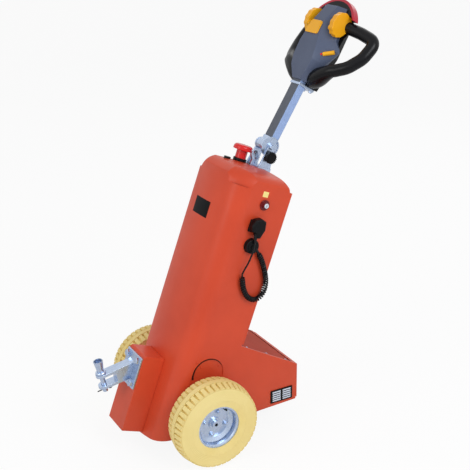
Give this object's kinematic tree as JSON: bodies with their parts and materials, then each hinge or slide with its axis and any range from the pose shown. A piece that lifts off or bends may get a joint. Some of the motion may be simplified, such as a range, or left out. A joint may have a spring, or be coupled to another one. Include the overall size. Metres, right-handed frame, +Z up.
{
  "type": "electric tow tractor",
  "caption": "Pedestrian electric tow tractor: leaning battery column on two cream tyres with a rear castor, tow jaw in front, tiller with a loop-handled control head.",
  "frame": {"origin": "on the ground under the middle of the machine's box, at rest", "axes": "+Z up, +X forward to the tow jaw, +Y to the left of the machine, which is the side with the charging cord"},
  "size_m": [0.8488, 0.485, 1.2635],
  "materials": {
    "body_paint": "smooth semi-gloss orange-red paint",
    "dark_steel": "dark primer, matt",
    "zinc": "zinc plated, satin",
    "tiller_paint": "light blue-grey paint",
    "tyre_rubber": "cream, non-marking",
    "head_grey": "fine grain",
    "black_plastic": "fine grain",
    "grip_black": "soft touch",
    "amber": "smooth",
    "bow_red": "smooth",
    "stop_red": "smooth",
    "key_red": "smooth",
    "drive_cast": "as cast",
    "battery_case": "smooth",
    "castor_tread": "smooth",
    "cord_black": "smooth"
  },
  "bodies": {
    "chassis": {"arch_plate_left": "body_paint", "arch_plate_right": "body_paint", "axle_housing_left": "dark_steel", "axle_housing_right": "dark_steel", "battery_pack": "battery_case", "box_rear_cover": "body_paint", "box_top_cover": "body_paint", "cable_gland": "black_plastic", "castor_plate": "zinc", "column_shell": "body_paint", "cord_curl": "cord_black", "cord_lead": "cord_black", "drive_unit": "drive_cast", "floor_plate": "dark_steel", "hitch_clip": "dark_steel", "hitch_jaw": "zinc", "hitch_pin": "zinc", "hitch_plate": "zinc", "index_knob": "black_plastic", "key_switch": "key_red", "lock_link": "zinc", "mains_plug": "black_plastic", "nose_box": "body_paint", "plug_holder": "black_plastic", "rear_cover": "body_paint", "stop_collar": "black_plastic", "stop_knob": "stop_red", "tiller_bracket": "zinc", "top_cap": "black_plastic", "vent_grille": "black_plastic"},
    "tiller": {"belly_bow": "bow_red", "handle_left": "grip_black", "handle_right": "grip_black", "head_base": "black_plastic", "head_button": "amber", "head_pad": "amber", "head_shell": "head_grey", "throttle_left": "amber", "throttle_right": "amber", "tiller_clamp": "zinc", "tiller_disc": "zinc", "tiller_foot": "zinc", "tiller_tube": "tiller_paint"},
    "wheel_left": {"tyre_left": "tyre_rubber", "rim_left": "zinc", "hub_left": "zinc"},
    "wheel_right": {"tyre_right": "tyre_rubber", "rim_right": "zinc", "hub_right": "zinc"},
    "castor_swivel": {"castor_fork": "zinc", "castor_axle": "zinc"},
    "castor_roller": {"castor_wheel": "castor_tread"}
  },
  "joints": [
    {"name": "wheel_left_spin", "type": "hinge", "parent": "chassis", "child": "wheel_left", "pos_m": [0.14784, 0.2, 0.13], "axis": [0, 1, 0], "continuous": true},
    {"name": "wheel_right_spin", "type": "hinge", "parent": "chassis", "child": "wheel_right", "pos_m": [0.14784, -0.2, 0.13], "axis": [0, 1, 0], "continuous": true},
    {"name": "castor_swivel", "type": "hinge", "parent": "chassis", "child": "castor_swivel", "pos_m": [-0.06416, 0, 0.083], "axis": [0, 0, 1], "continuous": true},
    {"name": "castor_spin", "type": "hinge", "parent": "castor_swivel", "child": "castor_roller", "pos_m": [-0.09216, 0, 0.04], "axis": [0, 1, 0], "continuous": true},
    {"name": "tiller_tilt", "type": "hinge", "parent": "chassis", "child": "tiller", "pos_m": [-0.15012, 0, 0.86303], "axis": [0, 1, 0], "range_deg": [-45, 30]}
  ]
}
